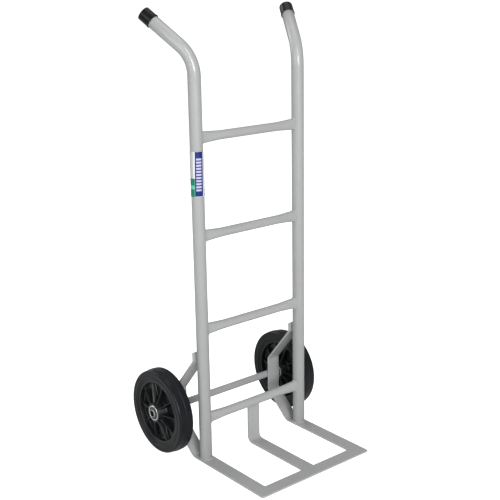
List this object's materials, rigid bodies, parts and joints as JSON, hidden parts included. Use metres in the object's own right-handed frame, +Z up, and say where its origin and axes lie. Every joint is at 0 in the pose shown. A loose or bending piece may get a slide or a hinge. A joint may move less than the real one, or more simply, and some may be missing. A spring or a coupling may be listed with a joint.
{
  "type": "hand truck",
  "caption": "Steel hand truck with splayed tube handles, ladder back, open flat-bar toe frame and solid-tyred wheels on ball bearings.",
  "frame": {"origin": "on the floor, in the middle of the outline seen from above", "axes": "+Z up, -Y towards the toe, +X to the right as seen from the front, the toe side"},
  "size_m": [0.4876, 0.4786, 1.1346],
  "materials": {
    "frame_paint": "light grey enamel, semi-gloss",
    "axle_paint": "light grey enamel, semi-gloss",
    "black_vinyl": "moulded vinyl, glossy",
    "tyre_rubber": "smooth solid rubber, satin",
    "hub_plastic": "moulded nylon, semi-gloss",
    "bearing_steel": "ground bearing steel",
    "ball_steel": "polished balls in a pressed cage",
    "zinc_steel": "bright zinc plate",
    "seal_rubber": "matt bonded rubber",
    "label_film": "printed vinyl film: blue panel with white and green side panels, no text"
  },
  "bodies": {
    "frame": {"left_upright": "frame_paint", "left_side_strap": "frame_paint", "left_handle_cap": "black_vinyl", "right_upright": "frame_paint", "right_side_strap": "frame_paint", "right_handle_cap": "black_vinyl", "crossbar_1": "frame_paint", "crossbar_2": "frame_paint", "crossbar_3": "frame_paint", "crossbar_4": "frame_paint", "toe_front_bar": "frame_paint", "toe_centre_strap": "frame_paint", "label": "label_film", "axle": "axle_paint", "left_outboard_bearing_inner_race": "bearing_steel", "left_inboard_bearing_inner_race": "bearing_steel", "left_bearing_sleeve": "zinc_steel", "left_axle_washer": "zinc_steel", "left_retaining_ring": "zinc_steel", "right_outboard_bearing_inner_race": "bearing_steel", "right_inboard_bearing_inner_race": "bearing_steel", "right_bearing_sleeve": "zinc_steel", "right_axle_washer": "zinc_steel", "right_retaining_ring": "zinc_steel"},
    "left_wheel": {"left_tyre": "tyre_rubber", "left_hub": "hub_plastic", "left_outboard_bearing_outer_race": "bearing_steel", "left_outboard_bearing_inboard_seal": "seal_rubber", "left_outboard_bearing_outboard_seal": "seal_rubber", "left_inboard_bearing_outer_race": "bearing_steel", "left_inboard_bearing_inboard_seal": "seal_rubber", "left_inboard_bearing_outboard_seal": "seal_rubber"},
    "left_ball_cages": {"left_outboard_bearing_ball_cage": "ball_steel", "left_inboard_bearing_ball_cage": "ball_steel"},
    "right_wheel": {"right_tyre": "tyre_rubber", "right_hub": "hub_plastic", "right_outboard_bearing_outer_race": "bearing_steel", "right_outboard_bearing_inboard_seal": "seal_rubber", "right_outboard_bearing_outboard_seal": "seal_rubber", "right_inboard_bearing_outer_race": "bearing_steel", "right_inboard_bearing_inboard_seal": "seal_rubber", "right_inboard_bearing_outboard_seal": "seal_rubber"},
    "right_ball_cages": {"right_outboard_bearing_ball_cage": "ball_steel", "right_inboard_bearing_ball_cage": "ball_steel"}
  },
  "joints": [
    {"name": "left_wheel_spin", "type": "hinge", "parent": "frame", "child": "left_wheel", "pos_m": [-0.21138, 0.12731, 0.112], "axis": [1, 0, 0], "continuous": true},
    {"name": "right_wheel_spin", "type": "hinge", "parent": "frame", "child": "right_wheel", "pos_m": [0.21138, 0.12731, 0.112], "axis": [1, 0, 0], "continuous": true},
    {"name": "left_ball_cage_roll", "type": "hinge", "parent": "frame", "child": "left_ball_cages", "pos_m": [-0.21138, 0.12731, 0.112], "axis": [1, 0, 0], "continuous": true},
    {"name": "right_ball_cage_roll", "type": "hinge", "parent": "frame", "child": "right_ball_cages", "pos_m": [0.21138, 0.12731, 0.112], "axis": [1, 0, 0], "continuous": true}
  ],
  "couplings": [
    {"joint": "left_ball_cage_roll", "follows": "left_wheel_spin", "ratio": 0.609},
    {"joint": "right_ball_cage_roll", "follows": "right_wheel_spin", "ratio": 0.609}
  ]
}
